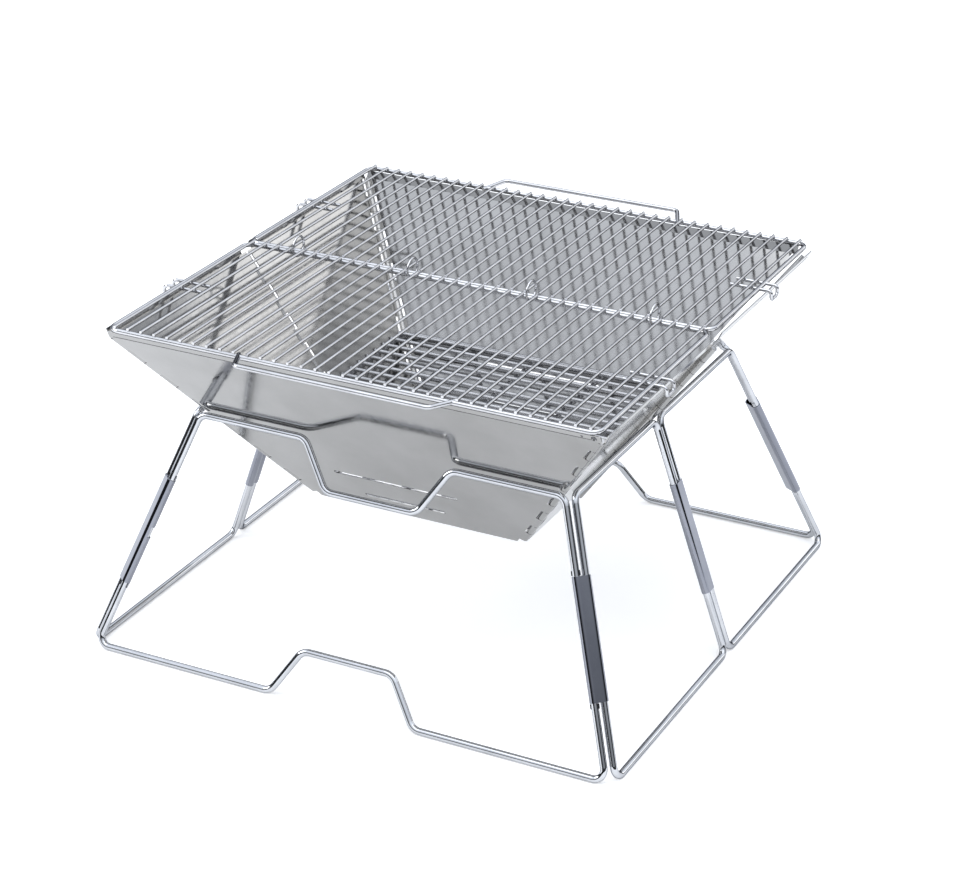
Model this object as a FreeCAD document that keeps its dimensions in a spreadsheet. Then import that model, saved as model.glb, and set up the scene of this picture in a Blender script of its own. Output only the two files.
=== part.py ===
import FreeCAD, Part
import math
import os

import Sketcher

# Folding camp grill: a four-sided stainless firebox that hangs in a folding wire stand.
# Millimetres, +Z up, front towards -Y, origin on the ground under the middle.
# The stand is a pyramid that narrows upwards and the firebox one that narrows downwards.
# Every fold line of a pyramid runs through its point, so each set of panels folds flat.

os.makedirs("parts", exist_ok=True)
doc = FreeCAD.newDocument("folding_camp_grill")
Vector = FreeCAD.Vector
Placement = FreeCAD.Placement
Rotation = FreeCAD.Rotation

SIZES = {
    # stand
    "stand_wire": 6.0,
    "foot_bend": 8.3,
    "shoulder_bend": 10.0,
    "dip_bend": 12.0,
    "foot_half_width": 244.0,
    "foot_half_depth": 233.4,
    "ring_half_width": 173.0,
    "ring_height": 206.0,
    "dip_half_mouth": 67.0,
    "dip_half_floor": 42.0,
    "dip_depth": 40.0,
    # sleeves that pair the stand's legs
    "leg_pitch": 8.0,
    "sleeve_length": 100.0,
    "sleeve_wall": 0.8,
    "sleeve_play": 0.05,
    "sleeve_notch": 10.0,
    "open_sleeve_reach": 3.2,
    "open_sleeve_play": 1.8,
    "ear_width": 7.2,
    "ear_thickness": 2.4,
    "ear_length": 4.0,
    "ear_play": 0.6,
    # firebox
    "rim_half_width": 226.0,
    "rim_half_depth": 218.5,
    "rim_height": 290.5,
    "floor_half_width": 99.5,
    "floor_height": 117.0,
    "sheet": 1.0,
    "band_width": 8.0,
    "band_tilt": 10.0,
    "band_overlap": 0.3,
    "corner_band_gap": 2.5,
    "mid_band_gap": 8.0,
    "barrel_radius": 3.0,
    "barrel_sink": 0.05,
    "pin_radius": 1.85,
    "pin_play": 0.05,
    "knuckle_count": 13.0,
    "knuckle_play": 0.6,
    "knuckle_margin": 4.2,
    "corner_cut_depth": 6.0,
    "mid_cut_depth": 1.5,
    "window_depth": 6.0,
    "mid_window_depth": 4.4,
    "free_edge_low": 9.0,
    "free_edge_high": 13.0,
    "upper_vent_half": 58.0,
    "lower_vent_half": 38.0,
    "vent_height": 4.0,
    "vent_middle": -5.0,
    "upper_vent_level": 160.4,
    "lower_vent_level": 136.0,
    "large_hole_radius": 2.5,
    "small_hole_radius": 1.2,
    "large_hole_inset": 12.0,
    "small_hole_inset": 22.0,
    # loose plates inside the firebox
    "base_level": 133.0,
    "base_thickness": 1.0,
    "base_corner": 12.0,
    "base_play": 1.6,
    "slot_length": 26.0,
    "slot_width": 6.0,
    "slot_pitch": 38.0,
    "slot_row_pitch": 20.0,
    "charcoal_level": 173.0,
    "charcoal_frame_wire": 5.0,
    "charcoal_wire": 4.0,
    "charcoal_pitch": 15.0,
    "charcoal_bend": 16.0,
    "charcoal_play": 2.4,
    # cooking grate
    "grate_half_width": 218.05,
    "grate_half_depth": 217.5,
    "grate_rod": 4.0,
    "grate_wire": 2.5,
    "grate_pitch": 12.46,
    "grate_bend": 9.0,
    "bar_overhang": 0.3,
    "mid_rod_offset": 2.4,
    "grate_seat": 0.3,
    "weld_sink": 0.2,
    "handle_half_base": 97.0,
    "handle_half_grip": 86.0,
    "handle_reach": 238.5,
    "handle_rise": 2.2,
    "handle_weld": 4.0,
    "handle_bend": 6.0,
    "hook_wire": 3.0,
    "hook_bend": 3.5,
    "hook_start": 193.0,
    "hook_reach": 229.8,
    "hook_drop": 8.0,
    "hook_place": 110.0,
    "hook_half_width": 7.0,
    "loop_wire": 2.0,
    "loop_radius": 8.9,
    "loop_shift": 0.6,
    "loop_lift": 0.5,
    "fold_gap": 0.4,
}

sheet = doc.addObject("Spreadsheet::Sheet", "Params")
for row, (alias, value) in enumerate(SIZES.items(), start=1):
    sheet.set("A%d" % row, alias)
    sheet.set("B%d" % row, str(value))
    sheet.setAlias("B%d" % row, alias)
doc.recompute()


def size(alias):
    """The value held in the sheet's cell of this name."""
    return float(sheet.get(alias))


def bind(item, **formulas):
    """Bind properties of a document object to the sheet; cell names stand for themselves."""
    for name, formula in formulas.items():
        for alias in sorted(SIZES, key=len, reverse=True):
            formula = formula.replace("<%s>" % alias, "Params.%s" % alias)
        item.setExpression(name, formula)


# ---------------------------------------------------------------- shared drawing helpers

def plane_of(body, role):
    """One of a body's own origin planes."""
    return [item for item in body.Origin.OriginFeatures if item.Role == role][0]


def new_body(name, place):
    body = doc.addObject("PartDesign::Body", name)
    body.Label = name
    body.Placement = place
    return body


def new_sketch(body, name, role="XY_Plane", offset=None):
    drawing = body.newObject("Sketcher::SketchObject", name)
    drawing.AttachmentSupport = [(plane_of(body, role), "")]
    drawing.MapMode = "FlatFace"
    if offset is not None:
        drawing.AttachmentOffset = offset
    return drawing


def corner_arc(before, corner, after, radius):
    """Where an arc of this radius starts, its middle and where it ends, at one corner."""
    back = (before - corner).normalize()
    ahead = (after - corner).normalize()
    half_turn = back.getAngle(ahead) / 2
    run_in = radius / math.tan(half_turn)
    inward = (back + ahead).normalize()
    middle = corner + inward * (radius / math.sin(half_turn) - radius)
    return corner + back * run_in, middle, corner + ahead * run_in


def rounded_loop(corners, bends):
    """A closed outline: straight runs and a tangent arc of its own radius at each corner.

    It starts inside its first run.
    """
    start = (corners[0] + corners[1]) / 2
    ring = corners[1:] + corners[:1]
    radii = bends[1:] + bends[:1]
    edges = []
    reached = start
    for index, corner in enumerate(ring):
        before = ring[index - 1]
        after = ring[(index + 1) % len(ring)]
        enter, middle, leave = corner_arc(before, corner, after, radii[index])
        edges.append(Part.LineSegment(reached, enter))
        edges.append(Part.Arc(enter, middle, leave))
        reached = leave
    edges.append(Part.LineSegment(reached, start))
    return edges


def rounded_run(corners, radius):
    """An open path: straight runs and tangent arcs from the first corner to the last."""
    edges = []
    reached = corners[0]
    for before, corner, after in zip(corners, corners[1:], corners[2:]):
        enter, middle, leave = corner_arc(before, corner, after, radius)
        edges.append(Part.LineSegment(reached, enter))
        edges.append(Part.Arc(enter, middle, leave))
        reached = leave
    edges.append(Part.LineSegment(reached, corners[-1]))
    return edges


def polygon(corners):
    closed = corners + corners[:1]
    return [Part.LineSegment(a, b) for a, b in zip(closed, closed[1:])]


def wire_loop(body, name, corners, bends, diameter):
    """A closed bent wire in the body's XY plane; diameter is a sheet formula.

    The first run must lie along X, because the round section is drawn across it.
    """
    path = new_sketch(body, name + "_path")
    path.addGeometry(rounded_loop(corners, bends), False)
    start = (corners[0] + corners[1]) / 2
    across = Placement(Vector(0, 0, start.x), Rotation())
    section = new_sketch(body, name + "_section", "YZ_Plane", across)
    section.addGeometry(Part.Circle(Vector(start.y, 0, 0), Vector(0, 0, 1), 1), False)
    section.addConstraint(Sketcher.Constraint("DistanceX", -1, 1, 0, 3, start.y))
    section.addConstraint(Sketcher.Constraint("PointOnObject", 0, 3, -1))
    radius = section.addConstraint(Sketcher.Constraint("Radius", 0, 1.0))
    bind(section, **{"Constraints[%d]" % radius: diameter + " / 2"})
    pipe = body.newObject("PartDesign::AdditivePipe", name)
    pipe.Profile = section
    pipe.Spine = (path, [])
    body.Tip = pipe
    return pipe


def attach(feature, body, place):
    feature.AttachmentSupport = [(plane_of(body, "XY_Plane"), "")]
    feature.MapMode = "FlatFace"
    feature.AttachmentOffset = place


def add_rod(body, name, start, end, radius, cut=False):
    """A round rod (or hole) between two points of the body; radius is a sheet formula."""
    kind = "PartDesign::SubtractiveCylinder" if cut else "PartDesign::AdditiveCylinder"
    rod = body.newObject(kind, name)
    attach(rod, body, Placement(start, Rotation(Vector(0, 0, 1), end - start)))
    rod.Height = (end - start).Length
    bind(rod, Radius=radius)
    return rod


def add_row(body, feature, role, span, count):
    """Repeat a feature along one of the body's axes, evenly over the span."""
    row = body.newObject("PartDesign::LinearPattern", feature.Name + "_row")
    row.Originals = [feature]
    row.Direction = (plane_of(body, role), [""])
    row.Length = span
    row.Occurrences = count
    body.Tip = row
    return row


def pad(body, name, edges, thickness, place=None):
    """A flat plate of a sheet-bound thickness, centred on its drawing plane."""
    drawing = new_sketch(body, name + "_outline", "XY_Plane", place)
    drawing.addGeometry(edges, False)
    plate = body.newObject("PartDesign::Pad", name)
    plate.Profile = drawing
    plate.Midplane = True
    bind(plate, Length=thickness)
    return plate


def pocket(body, name, edges, through):
    """Openings cut both ways through the body from its XY plane."""
    drawing = new_sketch(body, name + "_outline")
    drawing.addGeometry(edges, False)
    opening = body.newObject("PartDesign::Pocket", name)
    opening.Profile = drawing
    opening.Midplane = True
    opening.Length = through
    return opening


def slot_outline(middle, half_length, width):
    """A round-ended slot along X."""
    radius = width / 2
    run = half_length - radius
    left = middle + Vector(-run, 0, 0)
    right = middle + Vector(run, 0, 0)
    up = Vector(0, radius, 0)
    side = Vector(radius, 0, 0)
    return [
        Part.LineSegment(left - up, right - up),
        Part.Arc(right - up, right + side, right + up),
        Part.LineSegment(right + up, left + up),
        Part.Arc(left + up, left - side, left - up),
    ]


def swept_wire(name, corners, bend, radius):
    """A bent round wire that leaves its plane, as a solid of its own."""
    path = Part.Wire([edge.toShape() for edge in rounded_run(corners, bend)])
    ahead = corners[1] - corners[0]
    section = Part.Wire(Part.Circle(corners[0], ahead, radius).toShape())
    return solid_part(name, path.makePipeShell([section], True, True))


def solid_part(name, shape):
    item = doc.addObject("Part::Feature", name)
    item.Label = name
    item.Shape = shape
    return item


# ---------------------------------------------------------------- the two pyramids

class Pyramid:
    """Four sloping faces between a lower and an upper rectangle of the same proportion."""

    def __init__(self, low_width, low_depth, low, high_width, high):
        self.width = low_width
        self.depth = low_depth
        self.low = low
        self.rise = high - low
        self.out_x = high_width - low_width
        self.out_y = self.out_x * low_depth / low_width

    def face(self, side):
        """Placement of a face: X along it, Y up its slope, Z outwards; side is a unit vector."""
        if side.y:
            base = side * self.depth
            slope = side * self.out_y
        else:
            base = side * self.width
            slope = side * self.out_x
        along = Vector(0, 0, 1).cross(side)
        upward = (slope + Vector(0, 0, self.rise)).normalize()
        turn = Rotation(along, upward, along.cross(upward), "ZXY")
        return Placement(base + Vector(0, 0, self.low), turn)

    def half_base(self, side):
        return self.width if side.y else self.depth

    def spread(self, side):
        """How far a face's edge moves outwards from the bottom to the top."""
        return self.out_x if side.y else self.out_y

    def slant(self, side):
        """Length of a face's middle line from the bottom to the top."""
        return math.hypot(self.rise, self.out_y if side.y else self.out_x)

    def edge(self, side):
        """Bottom point and unit direction of a face's +X edge, in the face's own plane."""
        direction = Vector(self.spread(side), self.slant(side), 0).normalize()
        return Vector(self.half_base(side), 0, 0), direction

    def corner_angle(self):
        """Angle inside the corner between two neighbouring faces, in radians."""
        front = self.face(FRONT).Rotation.multVec(Vector(0, 0, 1))
        right = self.face(RIGHT).Rotation.multVec(Vector(0, 0, 1))
        return math.pi - front.getAngle(right)


FRONT = Vector(0, -1, 0)
BACK = Vector(0, 1, 0)
LEFT = Vector(-1, 0, 0)
RIGHT = Vector(1, 0, 0)

foot_level = size("stand_wire") / 2
stand = Pyramid(size("foot_half_width"), size("foot_half_depth"), foot_level,
                size("ring_half_width"), size("ring_height"))
rim_ratio = size("rim_half_depth") / size("rim_half_width")
box = Pyramid(size("floor_half_width"), size("floor_half_width") * rim_ratio,
              size("floor_height"), size("rim_half_width"), size("rim_height"))


# ---------------------------------------------------------------- stand: bent wire frames

corner_inset = size("leg_pitch") / 2 / math.sin(stand.corner_angle() / 2)
mid_inset = size("leg_pitch") / 2


def leg_line(side, inset):
    """A leg beside a face's +X edge: its bottom point and direction in the face's plane."""
    base, direction = stand.edge(side)
    inward = Vector(-direction.y, direction.x, 0)
    return base + inward * inset, direction


def at_level(point, direction, level):
    """The point of a line at this height in its face's plane."""
    return point + direction * ((level - point.y) / direction.y)


def mirrored(points):
    return [Vector(-point.x, point.y, 0) for point in points]


def add_ears(body, name, point, direction, stations):
    """Pinched stops on a leg, at these distances from the middle of its length."""
    middle = at_level(point, direction, 0) + direction * (stand_leg_length / 2)
    for index, station in enumerate(stations):
        ear = body.newObject("PartDesign::AdditiveBox", "%s_ear_%d" % (name, index))
        turn = Rotation(Vector(0, 1, 0), direction)
        corner = Vector(-size("ear_width") / 2, -size("ear_length") / 2, -size("ear_thickness") / 2)
        centre = middle + direction * station
        attach(ear, body, Placement(centre + turn.multVec(corner), turn))
        bind(ear, Length="<ear_width>", Width="<ear_length>", Height="<ear_thickness>")


stand_leg_length = math.hypot(stand.spread(FRONT), stand.slant(FRONT))
end_ears = size("sleeve_length") / 2 + size("ear_play") + size("ear_length") / 2


def full_frame(name, side, sleeve_ear_sides):
    """The front or back frame, with a dip in its top bar and an arch in its foot bar."""
    top = stand.slant(side)
    leg, direction = leg_line(side, corner_inset)
    foot = at_level(leg, direction, 0)
    shoulder = at_level(leg, direction, top)
    mouth = size("dip_half_mouth")
    floor = size("dip_half_floor")
    depth = size("dip_depth")
    right = [
        Vector(floor, depth, 0), Vector(mouth, 0, 0), foot,
        shoulder, Vector(mouth, top, 0), Vector(floor, top - depth, 0),
    ]
    corners = mirrored(right[:1]) + right + mirrored(reversed(right[1:]))
    dip = size("dip_bend")
    half_bends = [dip, dip, size("foot_bend"), size("shoulder_bend"), dip, dip]
    bends = half_bends[:1] + half_bends + half_bends[:0:-1]
    body = new_body(name, stand.face(side))
    wire_loop(body, "wire", corners, bends, "<stand_wire>")
    for sign in sleeve_ear_sides:
        mirror = Vector(sign * leg.x, leg.y, 0)
        add_ears(body, "leg_%s" % ("right" if sign > 0 else "left"), mirror,
                 Vector(sign * direction.x, direction.y, 0), (-end_ears, end_ears))
    return body


def half_frame(name, side, sign, corner_ears=(), mid_ears=()):
    """One half of a side's frame; sign is +1 for the half towards the face's own +X edge."""
    top = stand.slant(side)
    leg, direction = leg_line(side, corner_inset)
    mid = Vector(mid_inset, 0, 0)
    corners = [mid, at_level(leg, direction, 0), at_level(leg, direction, top), Vector(mid_inset, top, 0)]
    if sign < 0:
        corners = mirrored([corners[1], corners[0], corners[3], corners[2]])
    body = new_body(name, stand.face(side))
    wire_loop(body, "wire", corners, [size("foot_bend")] * len(corners), "<stand_wire>")
    add_ears(body, "corner_leg", Vector(sign * leg.x, leg.y, 0),
             Vector(sign * direction.x, direction.y, 0), corner_ears)
    mid_shift = (top - stand_leg_length) / 2
    add_ears(body, "mid_leg", Vector(sign * mid.x, 0, 0), Vector(0, 1, 0),
             [station + mid_shift for station in mid_ears])
    return body


def build_stand_frames():
    at_ends = (-end_ears, end_ears)
    full_frame("stand_front_frame", FRONT, (1, -1))
    full_frame("stand_back_frame", BACK, (1,))
    half_frame("stand_front_right_frame", RIGHT, -1)
    half_frame("stand_back_right_frame", RIGHT, 1, corner_ears=at_ends, mid_ears=at_ends)
    half_frame("stand_front_left_frame", LEFT, 1)
    half_frame("stand_back_left_frame", LEFT, -1, mid_ears=at_ends)


# ---------------------------------------------------------------- stand: sleeves

def sleeve_place(held_side, held_point, held_direction, other_side, other_point):
    """Placement of a sleeve: X from the held wire to the other one, Z up the legs."""
    held = stand.face(held_side)
    other = stand.face(other_side)
    start = held.multVec(held_point)
    upward = held.Rotation.multVec(held_direction)
    across = other.multVec(other_point) - start
    across = (across - upward * across.dot(upward)).normalize()
    turn = Rotation(across, upward.cross(across), upward, "ZXY")
    return Placement(start, turn)


def leg_middle(point, direction):
    return at_level(point, direction, 0) + direction * (stand_leg_length / 2)


def closed_sleeve(name, place, flip):
    """Sheet curled round both wires with one flat web; a notch opens the held wire's barrel."""
    pitch = size("leg_pitch")
    bore = size("stand_wire") / 2 + size("sleeve_play")
    outer = bore + size("sleeve_wall")
    neck = math.sqrt(outer ** 2 - bore ** 2)
    up = 1 if flip else -1
    body = new_body(name, place)
    far = Vector(pitch, 0, 0)
    web_face = up * outer
    web_back = up * bore
    outline = [
        Part.LineSegment(Vector(0, web_face, 0), Vector(pitch, web_face, 0)),
        Part.Arc(Vector(pitch, web_face, 0), Vector(pitch, -web_face, 0), Vector(pitch - neck, web_back, 0)),
        Part.LineSegment(Vector(pitch - neck, web_back, 0), Vector(neck, web_back, 0)),
        Part.Arc(Vector(neck, web_back, 0), Vector(0, -web_face, 0), Vector(0, web_face, 0)),
        Part.Circle(Vector(0, 0, 0), Vector(0, 0, 1), bore),
        Part.Circle(far, Vector(0, 0, 1), bore),
    ]
    pad(body, "barrels", outline, "<sleeve_length>")
    depth = 2 * pitch
    notch = body.newObject("PartDesign::SubtractiveBox", "notch")
    low_corner = Vector(pitch / 2 - depth, -depth if flip else 0, -size("sleeve_notch") / 2)
    attach(notch, body, Placement(low_corner, Rotation()))
    bind(notch, Length="2 * <leg_pitch>", Width="2 * <leg_pitch>", Height="<sleeve_notch>")
    return body


def open_sleeve(name, place):
    """The sleeve at the stand's last corner: one flattened loop, roomy at the far wire."""
    pitch = size("leg_pitch")
    bore = size("stand_wire") / 2 + size("sleeve_play")
    wide = bore + size("open_sleeve_play")
    reach = pitch + size("open_sleeve_reach")
    body = new_body(name, place)
    outline = []
    for wall in (size("sleeve_wall"), 0.0):
        near_radius = bore + wall
        far_radius = wide + wall
        lean = math.asin((far_radius - near_radius) / reach)
        normal = Vector(-math.sin(lean), math.cos(lean), 0)
        below = Vector(normal.x, -normal.y, 0)
        far = Vector(reach, 0, 0)
        outline += [
            Part.LineSegment(normal * near_radius, far + normal * far_radius),
            Part.Arc(far + normal * far_radius, far + Vector(far_radius, 0, 0), far + below * far_radius),
            Part.LineSegment(far + below * far_radius, below * near_radius),
            Part.Arc(below * near_radius, Vector(-near_radius, 0, 0), normal * near_radius),
        ]
    pad(body, "loop", outline, "<sleeve_length>")
    return body


def build_sleeves():
    front_leg, front_run = leg_line(FRONT, corner_inset)
    side_leg, side_run = leg_line(RIGHT, corner_inset)
    front_mid = leg_middle(front_leg, front_run)
    side_mid = leg_middle(side_leg, side_run)

    def across(point):
        return Vector(-point.x, point.y, 0)

    corners = {
        "front_right": (FRONT, front_mid, front_run, RIGHT, across(side_mid), False),
        "front_left": (FRONT, across(front_mid), across(front_run), LEFT, side_mid, True),
        "back_left": (BACK, front_mid, front_run, LEFT, across(side_mid), False),
    }
    for place, (held, point, run, other, other_point, flip) in corners.items():
        spot = sleeve_place(held, point, run, other, other_point)
        closed_sleeve("hinge_sleeve_" + place, spot, flip)
    spot = sleeve_place(RIGHT, side_mid, side_run, BACK, across(front_mid))
    open_sleeve("hinge_sleeve_back_right", spot)
    middle = Vector(mid_inset, stand.slant(RIGHT) / 2, 0)
    upward = Vector(0, 1, 0)
    closed_sleeve("hinge_sleeve_mid_right",
                  sleeve_place(RIGHT, middle, upward, RIGHT, across(middle)), True)
    closed_sleeve("hinge_sleeve_mid_left",
                  sleeve_place(LEFT, across(middle), upward, LEFT, middle), False)


# ---------------------------------------------------------------- firebox: panels

axis_gap = size("barrel_radius") - size("sheet") / 2 - size("barrel_sink")
corner_axis_inset = axis_gap / math.tan(box.corner_angle() / 2)
knuckles = int(size("knuckle_count"))
end_margin = size("knuckle_margin")
window_cut = 8 * size("barrel_radius")


class FoldEdge:
    """One hinged edge of a panel, in the panel's own plane, with its row of knuckles."""

    def __init__(self, start, direction, inward, length, axis_inset, axis_height, window, end_cut, band_gap):
        self.start = start
        self.direction = direction
        self.inward = inward
        self.axis_inset = axis_inset
        self.axis_height = axis_height
        self.window = window
        self.end_cut = end_cut
        self.band_gap = band_gap
        self.first = end_margin
        self.last = length - size("band_width") - end_margin
        self.top = self.last + end_margin
        self.pitch = (self.last - self.first) / knuckles

    def at(self, along, depth):
        return self.start + self.direction * along + self.inward * depth

    def axis_at(self, along):
        return self.at(along, self.axis_inset) + Vector(0, 0, self.axis_height)

    def gap(self, begin, end, depth):
        """Outline of a cut-out from outside the edge in to this depth."""
        outside = -2 * size("barrel_radius")
        return polygon([self.at(begin, outside), self.at(end, outside),
                        self.at(end, depth), self.at(begin, depth)])

    def end_gaps(self):
        """The bare stretches below the first knuckle and above the last one."""
        return (self.gap(self.first - 2 * end_margin, self.first, self.end_cut)
                + self.gap(self.last, self.top, self.end_cut))

    def band_end(self):
        """Where the rim band stops, along the face's X axis."""
        return self.at(self.top, self.band_gap).x

    def windows(self, parity):
        """The gaps that the other panel's knuckles fill: every second place along the edge."""
        play = size("knuckle_play") / 2
        outlines = self.end_gaps()
        for index in range(1 - parity, knuckles, 2):
            begin = self.first + index * self.pitch
            outlines += self.gap(begin - play, begin + self.pitch + play, self.window)
        return outlines


def corner_edge(side, sign):
    base, direction = box.edge(side)
    length = math.hypot(box.spread(side), box.slant(side))
    start = Vector(sign * base.x, 0, 0)
    run = Vector(sign * direction.x, direction.y, 0)
    inward = Vector(-sign * run.y, sign * run.x, 0)
    return FoldEdge(start, run, inward, length, corner_axis_inset, -axis_gap,
                    size("window_depth"), size("corner_cut_depth"), size("corner_band_gap"))


def mid_edge(side, sign):
    """The edge in the middle of a side; sign tells which way the half panel lies."""
    return FoldEdge(Vector(0, 0, 0), Vector(0, 1, 0), Vector(sign, 0, 0), box.slant(side),
                    0.0, axis_gap, size("mid_window_depth"), size("mid_cut_depth"), size("mid_band_gap"))


def plain_sheet(body, left, right):
    """A flat sheet from the floor edge up to the rim band.

    Each end is an edge with its depth at the bottom and at the top.
    """
    left_edge, left_low, left_high = left
    right_edge, right_low, right_high = right
    corners = [left_edge.at(0, left_low), right_edge.at(0, right_low),
               right_edge.at(right_edge.top, right_high), left_edge.at(left_edge.top, left_high)]
    pad(body, "panel", polygon(corners), "<sheet>")


def add_barrel(body, name, edge):
    """A full-length barrel with its bore along an edge; the windows are cut afterwards."""
    past_end = 1.0
    add_rod(body, name + "_barrel", edge.axis_at(edge.first), edge.axis_at(edge.last), "<barrel_radius>")
    add_rod(body, name + "_bore", edge.axis_at(edge.first - past_end), edge.axis_at(edge.last + past_end),
            "<pin_radius> + <pin_play>", cut=True)


def add_band(body, side, left, right):
    """The rim band: the sheet's top strip, bent a little inwards and level with the rim."""
    overlap = size("band_overlap")
    half_sheet = size("sheet") / 2
    slope = math.asin(box.rise / box.slant(side))
    steeper = slope + math.radians(size("band_tilt"))
    rise = (size("band_width") + overlap) * math.sin(slope) - half_sheet * math.cos(slope)
    reach = rise / math.sin(steeper)
    level = box.slant(side) - size("band_width")
    corner = Vector(left, level - overlap, -half_sheet)
    band = body.newObject("PartDesign::AdditiveBox", "rim_band")
    attach(band, body, Placement(corner, Rotation(Vector(1, 0, 0), -size("band_tilt"))))
    band.Length = right - left
    bind(band, Width="<band_width> * %g" % (reach / size("band_width")), Height="<sheet>")


def level_on(side, height):
    """Distance up a firebox face for a height above the ground."""
    return (height - box.low) * box.slant(side) / box.rise


def add_vents(body, side):
    slots = []
    for row in ("upper_vent", "lower_vent"):
        middle = Vector(size("vent_middle"), level_on(side, size(row + "_level")), 0)
        slots += slot_outline(middle, size(row + "_half"), size("vent_height"))
    pocket(body, "vents", slots, 4 * size("sheet"))


def add_rim_holes(body, side):
    """Two round holes near the right end of the front band."""
    band_middle = box.slant(side) - size("band_width") / 2
    right = box.half_base(side) + box.spread(side)
    holes = []
    for kind in ("large_hole", "small_hole"):
        middle = Vector(right - size(kind + "_inset"), band_middle, 0)
        holes.append(Part.Circle(middle, Vector(0, 0, 1), size(kind + "_radius")))
    pocket(body, "rim_holes", holes, 8 * size("sheet"))


def wide_panel(name, side, hinged_left):
    """The front panel, hinged at both corners, or the back one, free at its own left end."""
    left = corner_edge(side, -1)
    right = corner_edge(side, 1)
    if hinged_left:
        left_end = (left, left.axis_inset, left.axis_inset)
        left_band = left.band_end()
    else:
        left_end = (left, size("free_edge_low"), size("free_edge_high"))
        left_band = left.at(left.top, size("free_edge_high")).x
    body = new_body(name, box.face(side))
    plain_sheet(body, left_end, (right, right.axis_inset, right.axis_inset))
    add_barrel(body, "right", right)
    gaps = right.windows(0)
    if hinged_left:
        add_barrel(body, "left", left)
        gaps += left.windows(0)
    pocket(body, "knuckle_gaps", gaps, window_cut)
    add_band(body, side, left_band, right.band_end())
    add_vents(body, side)
    if side == FRONT:
        add_rim_holes(body, side)
    return body


def half_panel(name, side, sign, mid_parity, shares_corner=True):
    """Half of a side: hinged at its corner and to the other half; sign as in half_frame.

    Where the corner isn't shared, this half carries the whole row of knuckles.
    """
    corner = corner_edge(side, sign)
    mid = mid_edge(side, sign)
    ends = [(mid, 0, 0), (corner, corner.axis_inset, corner.axis_inset)]
    body = new_body(name, box.face(side))
    plain_sheet(body, *ends[::sign])
    add_barrel(body, "corner", corner)
    add_barrel(body, "mid", mid)
    corner_gaps = corner.windows(1) if shares_corner else corner.end_gaps()
    pocket(body, "knuckle_gaps", corner_gaps + mid.windows(mid_parity), window_cut)
    add_band(body, side, *sorted((corner.band_end(), mid.band_end())))
    return body


def build_panels():
    wide_panel("firebox_front_panel", FRONT, True)
    wide_panel("firebox_back_panel", BACK, False)
    half_panel("firebox_front_right_panel", RIGHT, -1, 0)
    half_panel("firebox_back_right_panel", RIGHT, 1, 1, shares_corner=False)
    half_panel("firebox_front_left_panel", LEFT, 1, 0)
    half_panel("firebox_back_left_panel", LEFT, -1, 1)


def hinge_pin(name, side, edge):
    place = box.face(side)
    start = place.multVec(edge.axis_at(edge.first))
    end = place.multVec(edge.axis_at(edge.last))
    pin = doc.addObject("Part::Cylinder", name)
    pin.Label = name
    pin.Height = (end - start).Length
    pin.Placement = Placement(start, Rotation(Vector(0, 0, 1), end - start))
    bind(pin, Radius="<pin_radius>")


def build_pins():
    hinge_pin("hinge_pin_front_right", FRONT, corner_edge(FRONT, 1))
    hinge_pin("hinge_pin_front_left", FRONT, corner_edge(FRONT, -1))
    hinge_pin("hinge_pin_back_left", BACK, corner_edge(BACK, 1))
    hinge_pin("hinge_pin_back_right", BACK, corner_edge(BACK, -1))
    hinge_pin("hinge_pin_mid_right", RIGHT, mid_edge(RIGHT, 1))
    hinge_pin("hinge_pin_mid_left", LEFT, mid_edge(LEFT, 1))


# ---------------------------------------------------------------- loose plates inside

def inner_half(height, clearance):
    """Half width and half depth inside the firebox at this height."""
    share = (height - box.low) / box.rise
    half_width = box.width + box.out_x * share - clearance
    half_depth = box.depth + box.out_y * share - clearance
    return half_width, half_depth


def build_base_plate():
    half_width, half_depth = inner_half(size("base_level"), size("base_play"))
    cut = size("base_corner")
    corners = [
        Vector(half_width - cut, -half_depth, 0), Vector(half_width, -half_depth + cut, 0),
        Vector(half_width, half_depth - cut, 0), Vector(half_width - cut, half_depth, 0),
    ]
    body = new_body("base_plate", Placement(Vector(0, 0, size("base_level")), Rotation()))
    pad(body, "plate", polygon(corners + mirrored(reversed(corners))), "<base_thickness>")
    slots = []
    for row in range(-4, 5):
        count = 5 if row % 2 == 0 else 4
        for column in range(count):
            x = (column - (count - 1) / 2) * size("slot_pitch")
            middle = Vector(x, row * size("slot_row_pitch"), 0)
            slots += slot_outline(middle, size("slot_length") / 2, size("slot_width"))
    pocket(body, "air_slots", slots, 4 * size("base_thickness"))


def build_charcoal_grate():
    level = size("charcoal_level")
    clearance = size("charcoal_frame_wire") / 2 + size("charcoal_play")
    half_width, half_depth = inner_half(level, clearance)
    corners = [
        Vector(-half_width, -half_depth, 0), Vector(half_width, -half_depth, 0),
        Vector(half_width, half_depth, 0), Vector(-half_width, half_depth, 0),
    ]
    body = new_body("charcoal_grate", Placement(Vector(0, 0, level), Rotation()))
    wire_loop(body, "frame", corners, [size("charcoal_bend")] * len(corners), "<charcoal_frame_wire>")
    lift = (size("charcoal_frame_wire") + size("charcoal_wire")) / 2 - size("weld_sink")
    pitch = size("charcoal_pitch")
    count = int(half_depth / pitch)
    first = -count * pitch
    bar = add_rod(body, "bar", Vector(-half_width, first, lift), Vector(half_width, first, lift),
                  "<charcoal_wire> / 2")
    add_row(body, bar, "Y_Axis", 2 * count * pitch, 2 * count + 1)
    for number, x in enumerate((-half_width / 2, 0, half_width / 2)):
        add_rod(body, "cross_rod_%d" % number, Vector(x, -half_depth, 0), Vector(x, half_depth, 0),
                "<charcoal_wire> / 2")


# ---------------------------------------------------------------- cooking grate

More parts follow.
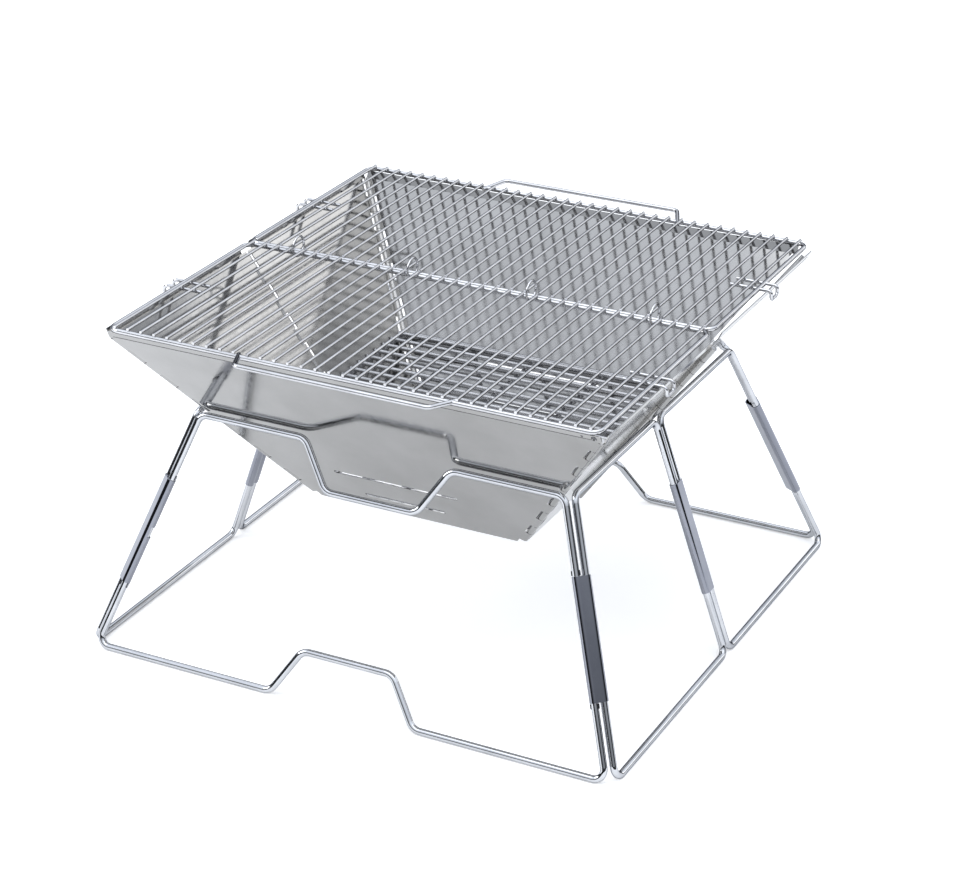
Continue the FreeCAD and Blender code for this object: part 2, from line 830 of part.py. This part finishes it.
rod_level = size("rim_height") + size("grate_rod") / 2 + size("grate_seat")
wire_rise = (size("grate_rod") + size("grate_wire")) / 2 - size("weld_sink")
fold_rise = wire_rise + size("grate_wire") / 2 + size("fold_gap")


def grate_half(name, sign):
    """A rod frame with long thin bars welded on top; sign is -1 in front and +1 behind."""
    half_width = size("grate_half_width")
    outer = sign * size("grate_half_depth")
    inner = sign * size("mid_rod_offset")
    corners = [
        Vector(-half_width, outer, 0), Vector(half_width, outer, 0),
        Vector(half_width, inner, 0), Vector(-half_width, inner, 0),
    ]
    body = new_body(name, Placement(Vector(0, 0, rod_level), Rotation()))
    wire_loop(body, "frame", corners, [size("grate_bend")] * len(corners), "<grate_rod>")
    pitch = size("grate_pitch")
    count = int(half_width / pitch)
    overhang = size("bar_overhang")
    first = -count * pitch
    bar = add_rod(body, "bar", Vector(first, outer + sign * overhang, wire_rise),
                  Vector(first, inner - sign * overhang, wire_rise), "<grate_wire> / 2")
    add_row(body, bar, "X_Axis", 2 * count * pitch, 2 * count + 1)
    return body


def grate_handle(name, sign):
    """The trapezoid grip that stands out past the rim; its ends are welded to the outer rod."""
    base_y = sign * (size("grate_half_depth") - size("handle_weld"))
    grip_y = sign * size("handle_reach")
    grip_level = rod_level + size("handle_rise")
    corners = [
        Vector(-size("handle_half_base"), base_y, rod_level),
        Vector(-size("handle_half_grip"), grip_y, grip_level),
        Vector(size("handle_half_grip"), grip_y, grip_level),
        Vector(size("handle_half_base"), base_y, rod_level),
    ]
    swept_wire(name, corners, size("handle_bend"), size("grate_rod") / 2)


def grate_hook(name, side_sign, depth_sign):
    """A bow of wire that passes over the side rim and drops outside it."""
    start = size("hook_start")
    reach = size("hook_reach")
    low = rod_level - size("hook_drop")
    near = size("hook_place") - size("hook_half_width")
    far = size("hook_place") + size("hook_half_width")
    half_run = [(start, rod_level), (reach, rod_level), (reach, low)]
    corners = [Vector(side_sign * x, depth_sign * near, z) for x, z in half_run]
    corners += [Vector(side_sign * x, depth_sign * far, z) for x, z in reversed(half_run)]
    swept_wire(name, corners, size("hook_bend"), size("hook_wire") / 2)


def build_grate_loops():
    """Four upright rings welded to the front half; the back half's rod turns inside them."""
    bars_between = 9
    rings = []
    centre_level = rod_level + fold_rise + size("loop_lift")
    for step in (-1.5, -0.5, 0.5, 1.5):
        centre = Vector(step * bars_between * size("grate_pitch"), size("loop_shift"), centre_level)
        rings.append(Part.makeTorus(size("loop_radius"), size("loop_wire") / 2, centre, Vector(1, 0, 0)))
    solid_part("grate_hinge_loops", Part.makeCompound(rings))


def build_cooking_grate():
    for name, sign in (("front", -1), ("back", 1)):
        grate_half("cooking_grate_%s_half" % name, sign)
        grate_handle("grate_handle_" + name, sign)
        grate_hook("grate_hook_%s_left" % name, -1, sign)
        grate_hook("grate_hook_%s_right" % name, 1, sign)
    build_grate_loops()


# ---------------------------------------------------------------- build, check, write

def sub_parts():
    """The document objects that are pieces of the grill."""
    kinds = ("PartDesign::Body", "Part::Feature", "Part::Cylinder")
    inside = set()
    for body in doc.Objects:
        if body.TypeId == "PartDesign::Body":
            inside.update(item.Name for item in body.Group)
    return [item for item in doc.Objects if item.TypeId in kinds and item.Name not in inside]


def check_and_write():
    for item in doc.Objects:
        if "Invalid" in item.State or "Error" in item.State:
            raise RuntimeError("%s failed: %s" % (item.Name, item.State))
    pieces = sub_parts()
    for piece in pieces:
        shape = piece.Shape
        if shape.isNull() or not shape.isValid() or not shape.Solids:
            raise RuntimeError("%s has no valid solid" % piece.Label)
    for piece in pieces:
        piece.Shape.exportStep("parts/%s.step" % piece.Label)
        box_of_piece = piece.Shape.BoundBox
        print("%-28s solids %d volume %9.0f  x %7.1f %7.1f  y %7.1f %7.1f  z %6.1f %6.1f" % (
            piece.Label, len(piece.Shape.Solids), piece.Shape.Volume, box_of_piece.XMin, box_of_piece.XMax,
            box_of_piece.YMin, box_of_piece.YMax, box_of_piece.ZMin, box_of_piece.ZMax))


build_stand_frames()
build_sleeves()
build_panels()
build_pins()
build_base_plate()
build_charcoal_grate()
build_cooking_grate()
doc.recompute()
check_and_write()
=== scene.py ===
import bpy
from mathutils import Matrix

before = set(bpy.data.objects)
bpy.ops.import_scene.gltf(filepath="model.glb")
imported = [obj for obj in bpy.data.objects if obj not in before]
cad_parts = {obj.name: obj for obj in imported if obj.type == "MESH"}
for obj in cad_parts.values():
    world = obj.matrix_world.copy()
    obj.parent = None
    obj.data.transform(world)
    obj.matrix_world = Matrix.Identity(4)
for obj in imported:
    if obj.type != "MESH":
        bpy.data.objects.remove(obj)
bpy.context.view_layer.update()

import math

import bpy
from mathutils import Vector

# Looks for the folding camp grill: bright rolled sheet, drawn stand wire, plated cooking wire.
# Metres, in the frame's own coordinates: front towards -Y, +Z up.
# Every shape comes from the frame; this script adds materials, a studio and the camera.

X, Y, Z = range(3)
EVEN = (1.0, 1.0, 1.0)
WHITE = (1.0, 1.0, 1.0, 1.0)
GRILL_MIDDLE = (0, 0, 0.15)

# sheet
GRAIN_STRETCH = 0.02
# the next three numbers set a painted highlight on the sheet edges: its width, how much lighter it is
# and how far the edge must turn
EDGE_RADIUS = 0.0006
EDGE_HIGHLIGHT_GAIN = 1.25
EDGE_TURN = 0.90
GRAIN_HEIGHT = 0.00002

# wire
WIRE_EDGE_TINT = (0.16, 0.17, 0.20)
MARK_HEIGHT = 0.00003
MARK_DEPTH = 0.15

# studio
FLOOR_HALF_WIDTH = 9.0
FLOOR_GLOW = 0.40
FLOOR_GLOW_MIRRORED = 0.15
SKY_TINT = (0.94, 0.99, 1.08)
SKY_LEVELS = ((0.0, 0.015), (0.22, 0.05), (0.42, 0.70), (0.70, 1.2))


# ---------------------------------------------------------------- camera

def add_camera():
    """A long lens a little above the grill, turned towards its front right corner."""
    turn = math.radians(27.19)
    rise = math.radians(25.37)
    distance = 2.3164
    away = Vector((math.sin(turn) * math.cos(rise), -math.cos(turn) * math.cos(rise), math.sin(rise)))
    data = bpy.data.cameras.new("camera")
    data.sensor_width = 36
    data.lens = 99.9317
    data.shift_x = 0.012526
    data.shift_y = -0.004451
    data.clip_end = 100
    data.dof.use_dof = False
    camera = bpy.data.objects.new("camera", data)
    bpy.context.collection.objects.link(camera)
    camera.location = Vector(GRILL_MIDDLE) + away * distance
    camera.rotation_euler = away.to_track_quat("Z", "Y").to_euler()
    bpy.context.scene.camera = camera


# ---------------------------------------------------------------- material helpers

class Metal:
    """A material with one metal shader, built up by small steps."""

    def __init__(self, name):
        self.material = bpy.data.materials.new(name)
        self.material.use_nodes = True
        self.tree = self.material.node_tree
        self.shader = self.tree.nodes["Principled BSDF"]
        self.shader.inputs["Metallic"].default_value = 1.0
        self.place = self.add("ShaderNodeTexCoord").outputs["Object"]

    def add(self, kind, **settings):
        node = self.tree.nodes.new(kind)
        for name, value in settings.items():
            setattr(node, name, value)
        return node

    def link(self, source, target):
        self.tree.links.new(source, target)

    def noise(self, stretch, scale, detail, roughness=0.5):
        """Noise whose frequency along X, Y and Z is multiplied by stretch."""
        mapping = self.add("ShaderNodeMapping")
        mapping.inputs["Scale"].default_value = stretch
        self.link(self.place, mapping.inputs["Vector"])
        noise = self.add("ShaderNodeTexNoise")
        noise.inputs["Scale"].default_value = scale
        noise.inputs["Detail"].default_value = detail
        noise.inputs["Roughness"].default_value = roughness
        self.link(mapping.outputs["Vector"], noise.inputs["Vector"])
        return noise.outputs["Fac"]

    def spread(self, value, low, high, out_low=0.0, out_high=1.0):
        """Spread a value's low..high over out_low..out_high."""
        node = self.add("ShaderNodeMapRange")
        node.inputs["From Min"].default_value = low
        node.inputs["From Max"].default_value = high
        node.inputs["To Min"].default_value = out_low
        node.inputs["To Max"].default_value = out_high
        self.link(value, node.inputs["Value"])
        return node.outputs["Result"]

    def mix(self, factor, first, second):
        """From one plain colour to another."""
        node = self.add("ShaderNodeMix", data_type="RGBA")
        node.inputs["A"].default_value = (*first, 1)
        node.inputs["B"].default_value = (*second, 1)
        self.link(factor, node.inputs["Factor"])
        return node.outputs["Result"]

    def over(self, base, factor, colour):
        """Lay one plain colour over a colour output."""
        node = self.add("ShaderNodeMix", data_type="RGBA")
        node.inputs["B"].default_value = (*colour, 1)
        self.link(base, node.inputs["A"])
        self.link(factor, node.inputs["Factor"])
        return node.outputs["Result"]

    def bump(self, height, distance, strength):
        node = self.add("ShaderNodeBump")
        node.inputs["Distance"].default_value = distance
        node.inputs["Strength"].default_value = strength
        self.link(height, node.inputs["Height"])
        self.link(node.outputs["Normal"], self.shader.inputs["Normal"])

    def edge_mask(self):
        """Rises from 0 to 1 where the surface turns over an edge within EDGE_RADIUS."""
        bevel = self.add("ShaderNodeBevel", samples=4)
        bevel.inputs["Radius"].default_value = EDGE_RADIUS
        flat = self.add("ShaderNodeNewGeometry")
        compare = self.add("ShaderNodeVectorMath", operation="DOT_PRODUCT")
        self.link(bevel.outputs["Normal"], compare.inputs[0])
        self.link(flat.outputs["Normal"], compare.inputs[1])
        return self.spread(compare.outputs["Value"], 1.0, EDGE_TURN)


def rolled_sheet(name, grain_axis, light, dark, smooth, rough, grain_depth):
    """Bright rolled sheet: fine rolling grain, cloudy patches, fine scuffs and a painted highlight
    along the edges.
    """
    look = Metal(name)
    stretch = list(EVEN)
    stretch[grain_axis] = GRAIN_STRETCH
    grain = look.noise(stretch, scale=700.0, detail=3.0)
    cloud = look.noise(EVEN, scale=14.0, detail=5.0, roughness=0.6)
    scuffs = look.noise(EVEN, scale=160.0, detail=6.0, roughness=0.7)
    plain = look.mix(look.spread(cloud, 0.35, 0.65), dark, light)
    # painted highlight: the colour turns lighter where the sheet turns over an edge
    edge_highlight_colour = tuple(part * EDGE_HIGHLIGHT_GAIN for part in light)
    edge_highlighted = look.over(plain, look.edge_mask(), edge_highlight_colour)
    look.link(edge_highlighted, look.shader.inputs["Base Color"])
    look.link(look.spread(scuffs, 0.35, 0.70, smooth, rough), look.shader.inputs["Roughness"])
    look.bump(grain, GRAIN_HEIGHT, grain_depth)
    return look.material


def drawn_wire(name, light, dark, smooth, rough):
    """Bright drawn wire: patches of duller metal, small marks and a dark tint at grazing angles."""
    look = Metal(name)
    patches = look.noise(EVEN, scale=35.0, detail=4.0)
    marks = look.noise(EVEN, scale=700.0, detail=2.0)
    colour = look.mix(look.spread(patches, 0.35, 0.65), light, dark)
    look.link(colour, look.shader.inputs["Base Color"])
    look.shader.inputs["Specular Tint"].default_value = (*WIRE_EDGE_TINT, 1)
    look.link(look.spread(patches, 0.3, 0.7, smooth, rough), look.shader.inputs["Roughness"])
    look.bump(marks, MARK_HEIGHT, MARK_DEPTH)
    return look.material


# ---------------------------------------------------------------- materials

def panel_sheet(name, grain_axis):
    return rolled_sheet(name, grain_axis, light=(0.46, 0.455, 0.445), dark=(0.405, 0.40, 0.39),
                        smooth=0.06, rough=0.12, grain_depth=0.05)


def sleeve_sheet():
    return rolled_sheet("sleeve_sheet", Z, light=(0.33, 0.34, 0.38), dark=(0.27, 0.28, 0.32),
                        smooth=0.04, rough=0.08, grain_depth=0.05)


def base_sheet():
    return rolled_sheet("base_sheet", X, light=(0.55, 0.55, 0.56), dark=(0.47, 0.47, 0.48),
                        smooth=0.12, rough=0.20, grain_depth=0.1)


def stand_wire():
    return drawn_wire("stand_wire", light=(0.70, 0.71, 0.73), dark=(0.60, 0.61, 0.63),
                      smooth=0.04, rough=0.09)


def cooking_wire():
    return drawn_wire("cooking_wire", light=(0.76, 0.76, 0.77), dark=(0.64, 0.64, 0.65),
                      smooth=0.08, rough=0.16)


def charcoal_wire():
    return drawn_wire("charcoal_wire", light=(0.60, 0.60, 0.61), dark=(0.48, 0.48, 0.49),
                      smooth=0.15, rough=0.26)


def pin_rod():
    return drawn_wire("pin_rod", light=(0.60, 0.60, 0.61), dark=(0.52, 0.52, 0.53),
                      smooth=0.15, rough=0.25)


def dress_nodes():
    """Give every node the first material whose list has the start of its name."""
    looks = (
        (("stand_",), stand_wire()),
        (("hinge_sleeve",), sleeve_sheet()),
        (("hinge_pin",), pin_rod()),
        (("firebox_front_panel", "firebox_back_panel"), panel_sheet("sheet_front_back", X)),
        (("firebox_",), panel_sheet("sheet_sides", Y)),
        (("base_plate",), base_sheet()),
        (("charcoal_grate",), charcoal_wire()),
        (("cooking_grate", "grate_"), cooking_wire()),
    )
    for name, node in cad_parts.items():
        material = next(look for starts, look in looks if name.startswith(starts))
        node.data.materials.clear()
        node.data.materials.append(material)


# ---------------------------------------------------------------- studio

def seen_directly(tree):
    """1 where the camera looks straight at a surface, 0 in reflections and bounced light."""
    return tree.nodes.new("ShaderNodeLightPath").outputs["Is Camera Ray"]


def add_floor():
    """White to the camera; a little greyer in the metal, as the photo's front panel shows it."""
    half = FLOOR_HALF_WIDTH
    mesh = bpy.data.meshes.new("floor")
    corners = [(-half, -half, 0), (half, -half, 0), (half, half, 0), (-half, half, 0)]
    mesh.from_pydata(corners, [], [(0, 1, 2, 3)])
    floor = bpy.data.objects.new("floor", mesh)
    bpy.context.collection.objects.link(floor)
    material = bpy.data.materials.new("floor")
    material.use_nodes = True
    tree = material.node_tree
    shader = tree.nodes["Principled BSDF"]
    shader.inputs["Base Color"].default_value = (0.9, 0.9, 0.9, 1)
    shader.inputs["Roughness"].default_value = 0.9
    shader.inputs["Specular IOR Level"].default_value = 0.0
    shader.inputs["Emission Color"].default_value = WHITE
    glow = tree.nodes.new("ShaderNodeMapRange")
    glow.inputs["To Min"].default_value = FLOOR_GLOW_MIRRORED
    glow.inputs["To Max"].default_value = FLOOR_GLOW
    tree.links.new(seen_directly(tree), glow.inputs["Value"])
    tree.links.new(glow.outputs["Result"], shader.inputs["Emission Strength"])
    mesh.materials.append(material)


def add_softbox(name, place, width, height, power):
    """A rectangular light that faces the grill."""
    data = bpy.data.lights.new(name, "AREA")
    data.shape = "RECTANGLE"
    data.size = width
    data.size_y = height
    data.energy = power
    light = bpy.data.objects.new(name, data)
    bpy.context.collection.objects.link(light)
    light.location = place
    light.rotation_euler = (Vector(place) - Vector(GRILL_MIDDLE)).to_track_quat("Z", "Y").to_euler()


def add_world():
    """Metal mirrors a room pale overhead and dark at eye level; the camera sees a white one."""
    world = bpy.data.worlds.new("studio")
    bpy.context.scene.world = world
    world.use_nodes = True
    tree = world.node_tree
    background = tree.nodes["Background"]
    place = tree.nodes.new("ShaderNodeTexCoord")
    split = tree.nodes.new("ShaderNodeSeparateXYZ")
    ramp = tree.nodes.new("ShaderNodeValToRGB")
    tree.links.new(place.outputs["Generated"], split.inputs["Vector"])
    tree.links.new(split.outputs["Z"], ramp.inputs["Fac"])
    elements = ramp.color_ramp.elements
    for position, level in SKY_LEVELS[1:-1]:
        elements.new(position)
    for element, (position, level) in zip(elements, SKY_LEVELS):
        element.position = position
        element.color = (*(level * tint for tint in SKY_TINT), 1)
    backdrop = tree.nodes.new("ShaderNodeMix")
    backdrop.data_type = "RGBA"
    backdrop.inputs["B"].default_value = WHITE
    tree.links.new(ramp.outputs["Color"], backdrop.inputs["A"])
    tree.links.new(seen_directly(tree), backdrop.inputs["Factor"])
    tree.links.new(backdrop.outputs["Result"], background.inputs["Color"])
    background.inputs["Strength"].default_value = 1.0


def add_studio():
    add_floor()
    add_world()
    add_softbox("softbox_left", place=(-2.4, -1.2, 1.6), width=1.6, height=1.2, power=26)
    add_softbox("softbox_top", place=(0.2, -0.6, 3.2), width=3.4, height=2.6, power=24)
    add_softbox("softbox_back", place=(1.9, 2.9, 1.15), width=2.6, height=1.1, power=12)
    view = bpy.context.scene.view_settings
    view.view_transform = "Standard"
    view.look = "None"


add_camera()
dress_nodes()
add_studio()
